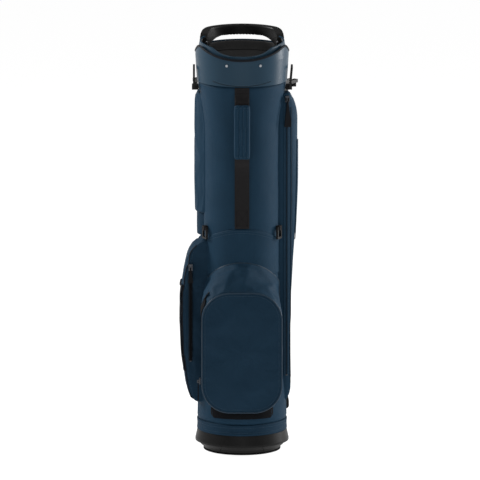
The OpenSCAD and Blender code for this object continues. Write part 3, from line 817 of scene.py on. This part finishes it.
def ball_pocket():
    lo = box_mm("ball_pocket")[0]
    front, seam = ball_outline(0), ball_seam()

    def gusset(i, t):
        """A point of the gusset: t is 0 at the front panel, 1 at the seam on the tube, and more inside it."""
        (xf, zf), (xs, zs) = front[i % BALL_COUNT], seam[i % BALL_COUNT]
        ys = -math.sqrt((tube_r(zs) + 1) ** 2 - xs * xs)
        bulge = 0.5 * math.sin(math.pi * min(1, t))
        if xf < LEFT_SHOULDER_X:
            rise = min(1, max(0, (zf - LEFT_SHOULDER_LOW) / 30))
            bulge += 4.0 * rise * math.sin(math.pi * min(1, t * 1.25))
        x, z = xf + (xs - xf) * t, zf + (zs - zf) * t
        away = Vector((x, z - 240)).normalized() * bulge
        return mm(x + away.x, lo.y + (ys - lo.y) * t, z + away.y)

    steps = 26
    rows = [[gusset(i, 1.08 * k / steps) for i in range(BALL_COUNT)] for k in range(steps + 1)]
    body = solid("ball_pocket_gusset", "navy_fabric", capped(rows))
    zip_lo, zip_hi = box_mm("ball_zip")
    zip_y = (zip_lo.y + zip_hi.y) / 2

    def sewn(p):
        at_zip = p.x < -50 and abs(p.y - zip_y) < 8
        return at_zip or p.y < lo.y + 1.5 or math.hypot(p.x, p.y) < tube_r(p.z) + 2

    relax(body, sewn, 1.2, 0.008, 3)
    wrinkle(body, 0.6, 40, 5, Vector((1, 0.45, 1)), lambda p: 0 if sewn(p) else 1)
    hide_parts("ball_pocket")

    rim = ball_outline(1.2)
    centre = Vector((0, 236))
    rows = []
    for k in range(23):
        share = 1 - (k / 22) ** 1.25 * 0.97
        dome = 3.4 * (1 - share ** 3)
        y = lo.y - 1.2 - dome
        rows.append([mm(centre.x + (x - centre.x) * share, y, centre.y + (z - centre.y) * share)
                     for x, z in rim])
    back_ring = [p + Vector((0, 2.2, 0)) * MM for p in rows[0]]
    panel = solid("ball_pocket_panel", "navy_panel", [back_ring] + rows)
    edge = lo.y - 1.35
    relax(panel, lambda p: p.y > edge, 1.6, 0.004, 3)
    wrinkle(panel, 0.5, 60, 11, Vector((1, 1, 0.7)), lambda p: min(1, max(0, (edge - p.y) / 2)))
    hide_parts("ball_pocket_front")

    cord = [mm(x, lo.y - 1.0, z) for x, z in ball_outline(0.7)]
    trim = bead("ball_pocket_bead", "navy_panel", cord, 1.7, closed=True, start=OUT_FRONT)
    trim.data.materials[0] = NAVY_BEAD.material
    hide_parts("ball_pocket_piping")

    meet = [gusset(i, 0.99) for i in range(BALL_COUNT)]
    binding = bead("ball_pocket_binding", "navy_fabric", meet, 1.3, closed=True, start=OUT_FRONT)
    binding.data.materials[0] = NAVY_BEAD.material

    tree = surface(panel)
    inner = [mm(x, lo.y - 4, z) for x, z in ball_outline(6.5)]
    stitches("ball_panel_stitch", "piping", inner + inner[:1], tree)
    tree = surface(body)
    ring = [gusset(i, 0.06) for i in range(BALL_COUNT)]
    stitches("ball_gusset_stitch", "piping", ring + ring[:1], tree)

    share = (zip_y - lo.y) / (GUSSET_BACK_Y - lo.y)
    run = [gusset(i, share) for i in range(BALL_COUNT - 1, BALL_COUNT // 2, -1)]
    run = [p for p in run if p.z > (zip_lo.z + 3) * MM and p.x < -72 * MM]
    outs = [OUT_FRONT.cross((b - a).normalized()) for a, b in zip([run[0]] + run, run[1:] + [run[-1]])]
    run = [p + out * 0.9 * MM for p, out in zip(run, outs)]
    zipper("ball_zip", "ball_zip", run, outs, zip_hi.y - zip_lo.y)
    # Painted shade: a dark zip-tape sheet laid on the gusset's left shoulder, from 286 mm up, standing in for
    # the shaded gap between the gusset and the left pocket.
    shade_sheet = []
    for i in range(BALL_COUNT - 1, BALL_COUNT // 2, -1):
        row = [gusset(i, 0.05 + 0.24 * k / 6) for k in range(7)]
        if row[0].z > 286 * MM and row[0].x < -79 * MM:
            out = OUT_FRONT.cross((gusset(i - 1, 0.2) - gusset(i + 1, 0.2)).normalized())
            shade_sheet.append([p + out * 0.8 * MM for p in row])
    sheet("ball_zip_shade_sheet", "zip_tape", shade_sheet, 1.0)


# ------------------------------------------------------------------ left side

LEFT_WALL = [(110, -99), (120, -113), (152, -121), (215, -130), (300, -134), (354, -132), (388, -128),
             (434, -118), (450, -113), (474, -86)]


def left_plan(z, proud=0.0):
    wall = soft_line(LEFT_WALL, z, 8)
    lo, hi = box_mm("left_lower_pocket")
    corner = 8
    return [(wall + corner - proud, lo.y + corner, corner), (wall + corner - proud, hi.y - corner, corner),
            (-62, lo.y + 3, 3), (-62, hi.y - 3, 3)]


def left_pockets():
    lo, hi = box_mm("left_lower_pocket")
    lower = stack("left_lower_pocket_cloth", "navy_panel", lambda z: wrap(left_plan(z), 110),
                  lo.z, hi.z, edge=7, step=7)
    relax(lower, sewn_to_tube(lo.z, hi.z), 2.0, 0.02, 3)
    wrinkle(lower, 1.0, 40, 21, Vector((1, 1, 0.6)))
    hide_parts("left_lower_pocket")
    tree = surface(lower)
    for y, word in ((lo.y + 3, "front"), (hi.y - 3, "back")):
        edge = []
        for z in range(round(lo.z) + 8, round(hi.z) - 10, 4):
            spot = tree.find_nearest(mm(soft_line(LEFT_WALL, z, 8), y, z))[0]
            edge.append(spot)
        bead(f"left_lower_bead_{word}", "piping", edge, 1.3, sides=8)
        for shift in (-7, 7):
            aside = mm(6, 0, 0) if shift * y > 0 else mm(-2, -math.copysign(7, y), 0)
            row = [p + aside for p in edge[2:-4]]
            stitches(f"left_lower_stitch_{word}_{'a' if shift < 0 else 'b'}", "piping", row, tree)

    lo, hi = box_mm("left_pocket_panel")
    rows = []
    for z in range(round(lo.z), round(hi.z) + 1, 5):
        row = []
        for k in range(21):
            y = lo.y + (hi.y - lo.y) * (1 - k / 20)
            spot, out, _, _ = tree.find_nearest(mm(soft_line(LEFT_WALL, z, 8), y, z))
            row.append(spot + out * (1.3 + 0.5 * ripple(spot, 22, 8)) * MM)
        rows.append(row)
    net = sheet("left_mesh_panel", "mesh", rows, 1.2)
    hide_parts("left_pocket_panel")
    top = [p + mm(-0.5, 0, 0) for p in rows[-1]]
    bead("left_mesh_binding", "piping", top, 2.2, tall=1.0, sides=8)
    net_tree = surface(net)
    for row, word in ((rows[1], "low"), ([r[1] for r in rows], "back"), ([r[-2] for r in rows], "front")):
        stitches("left_mesh_stitch_" + word, "piping", row, net_tree)

    lo, hi = box_mm("left_side_strip")
    strip = stack("left_side_strip_cloth", "navy_panel", lambda z: wrap([(lo.x + 42, 20, 42)], 90),
                  lo.z, hi.z, edge=2.5, step=8)
    wrinkle(strip, 0.8, 30, 13)
    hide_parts("left_side_strip")

    lo, hi = box_mm("left_upper_pocket")

    def upper(z):
        wall = line([(785, -103), (800, -95)], z)
        return [(max(x, wall), y) for x, y in wrap([(-60, 12, 43)], 110)]

    pocket = stack("left_upper_pocket_cloth", "navy_fabric", upper, lo.z, hi.z, edge=5, step=8)
    relax(pocket, sewn_to_tube(lo.z, hi.z), 1.0, 0.006, 2)
    wrinkle(pocket, 0.5, 60, 31, Vector((1, 1, 0.5)))
    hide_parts("left_upper_pocket")
    tree = surface(pocket)
    front = [mm(-72, -28.5, z) for z in range(540, 790, 6)]
    stitches("left_upper_stitch_front", "piping", front, tree)
    stitches("left_upper_stitch_back", "piping", [mm(-72, 52, z) for z in range(540, 780, 6)], tree)

    lo, hi = box_mm("left_zip")
    run = upright((lo.x + hi.x) / 2, lo.y + 0.9, lo.z + 3, hi.z - 3)
    zipper("left_zip", "left_zip", run, [OUT_FRONT] * len(run), hi.x - lo.x)


# ------------------------------------------------------------------ right side

RIGHT_WALL = [(112, 98), (130, 107), (197, 106), (264, 106), (354, 108), (421, 112), (488, 117),
              (600, 121), (640, 122), (745, 122), (765, 118), (785, 109), (797, 103)]
APPAREL = (82, 14, 40)
ZIP_TURN = -67


def right_pocket():
    lo, hi = box_mm("right_apparel_pocket")

    def outline(z):
        wall = soft_line(RIGHT_WALL, z, 8)
        rear = line([(780, 60), (781, 28), (800, 16)], z)
        return [(min(x, wall), min(y, rear)) for x, y in wrap([APPAREL], 130)]

    pocket = stack("right_pocket_cloth", "navy_fabric", outline, lo.z, hi.z, edge=6, step=8)
    zip_lo, zip_hi = box_mm("right_zip")
    turn = math.radians(ZIP_TURN)
    out = Vector((math.cos(turn), math.sin(turn), 0))
    centre = Vector((APPAREL[0], APPAREL[1], 0))
    line_at = centre + out * APPAREL[2]
    at_tube = sewn_to_tube(lo.z, hi.z)

    def sewn(p):
        near_zip = math.hypot(p.x - line_at.x, p.y - line_at.y) < 7 and zip_lo.z < p.z < zip_hi.z
        return near_zip or at_tube(p)

    relax(pocket, sewn, 1.6, 0.02, 3)
    wrinkle(pocket, 1.1, 60, 41, Vector((1, 1, 0.45)), lambda p: 0.15 if sewn(p) else 1)
    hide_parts("right_apparel_pocket")
    tree = surface(pocket)
    spot = centre + out * (APPAREL[2] + 0.6)
    run = upright(spot.x, spot.y, zip_lo.z + 3, zip_hi.z - 3)
    zipper("right_zip", "right_zip", run, [out] * len(run), 12.5, "navy_fabric")
    for angle, word in ((-50, "front"), (36, "back")):
        way = math.radians(angle)
        path = []
        for z in range(150, 770, 8):
            start = mm(APPAREL[0] + 50 * math.cos(way), APPAREL[1] + 50 * math.sin(way), z)
            path.append(tree.find_nearest(start)[0])
        bead(f"right_pocket_bead_{word}", "piping", path, 0.9, sides=6)
        stitches(f"right_pocket_stitch_{word}", "piping", [p + mm(2, 5, 0) for p in path], tree)

    welt_lo, welt_hi = box_mm("right_welt")
    rows = []
    for i in range(28):
        z = welt_lo.z + (welt_hi.z - welt_lo.z) * i / 27
        mid = -16 + 20 * i / 27
        row = []
        for k in range(9):
            y = mid + (k - 4) * 1.9
            spot, way, _, _ = tree.find_nearest(mm(140, y, z))
            row.append(spot + way * (0.4 + 1.7 * math.sqrt(1 - (abs(k - 4) / 4.4) ** 2)) * MM)
        rows.append(row)
    welt = sheet("right_welt_cloth", "navy_fabric", rows, 1.4)
    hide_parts("right_welt")
    stitches("right_welt_stitch", "piping", [row[7] for row in rows], surface(welt))


# ------------------------------------------------------------------ base and back

def cart_tunnel():
    lo, hi = box_mm("cart_strap_tunnel")
    rows = []
    reach = math.degrees(math.asin(hi.x / 98))
    for i in range(13):
        z = lo.z + (hi.z - lo.z) * i / 12
        arch = 1.5 * (1 - (i / 6 - 1) ** 2)
        half = reach - 5 * max(0, 1 - i / 6) ** 2
        rows.append([around(half * (k / 30 - 1), tube_r(z) + 0.9 + arch * (1 - (k / 30 - 1) ** 8), z)
                     for k in range(61)])
    strap = sheet("cart_tunnel_cloth", "zip_tape", rows, 1.2)
    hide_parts("cart_strap_tunnel")
    for side in (-1, 1):
        path = [around(side * (reach - 3), 100, z) for z in (lo.z + 2, hi.z - 2)]
        stitches(f"cart_tunnel_stitch_{'left' if side < 0 else 'right'}", "piping", path, surface(strap))


STAND_TURN = -4
PAD_REACH = 115
PAD_INNER = 19
PAD_OUTER = 57
PAD_CHANNELS = 5


def back_pads():
    """Two padded lobes, one on each side of the rods, sewn across in channels."""
    lo, hi = box_mm("back_pad")
    turn = math.radians(STAND_TURN)
    pads = []
    for side, word in ((-1, "left"), (1, "right")):
        def outline(z):
            share = (z - lo.z) / (hi.z - lo.z) * PAD_CHANNELS
            at_channel = 0.4 < share < PAD_CHANNELS - 0.4
            nip = 4.0 * math.exp(-(((share - round(share)) / 0.09) ** 2)) if at_channel else 0
            reach = PAD_REACH - nip - 2
            points = []
            for k in range(15):
                x = PAD_INNER + (PAD_OUTER - PAD_INNER) * k / 14
                points.append((x, math.sqrt(reach * reach - x * x) - 3.5 * abs(k / 7 - 1) ** 6))
            for k in range(15):
                x = PAD_OUTER - (PAD_OUTER - PAD_INNER) * k / 14
                points.append((x, math.sqrt(max(tube_r(z) + 0.5, 60) ** 2 - x * x)))
            points = even(points, 72)
            for _ in range(3):
                points = [tuple((a + 2 * b + c) / 4
                                for a, b, c in zip(points[i - 1], p, points[(i + 1) % 72]))
                          for i, p in enumerate(points)]
            c, s = math.cos(turn), math.sin(turn)
            spun = [(side * x * c - y * s, side * x * s + y * c) for x, y in points]
            return spun if side > 0 else spun[::-1]

        pad = stack(f"back_pad_{word}", "back_padding", outline, lo.z + 1, hi.z - 1, edge=9, step=4)
        step = (hi.z - lo.z) / PAD_CHANNELS

        def sewn(p):
            along = (p.z - lo.z) / step
            return math.hypot(p.x, p.y) < tube_r(p.z) + 6 or abs(along - round(along)) < 0.05

        relax(pad, sewn, 3.0, 0.02, 3)
        tree = surface(pad)
        for i in range(1, PAD_CHANNELS):
            z = lo.z + step * i
            path = []
            for k in range(12):
                x = side * (PAD_INNER + 4 + (PAD_OUTER - PAD_INNER - 8) * k / 11)
                y = 118.0
                path.append(mm(x * math.cos(turn) - y * math.sin(turn),
                               x * math.sin(turn) + y * math.cos(turn), z))
            stitches(f"back_pad_{word}_stitch_{i}", "back_padding", path, tree)
        pads.append(pad)
    for pad in pads:
        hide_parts("back_pad")


studio()
dress_frame()
tube()
band()
collar_trims()
lift_handle()
yoke()
ball_pocket()
left_pockets()
right_pocket()
cart_tunnel()
back_pads()
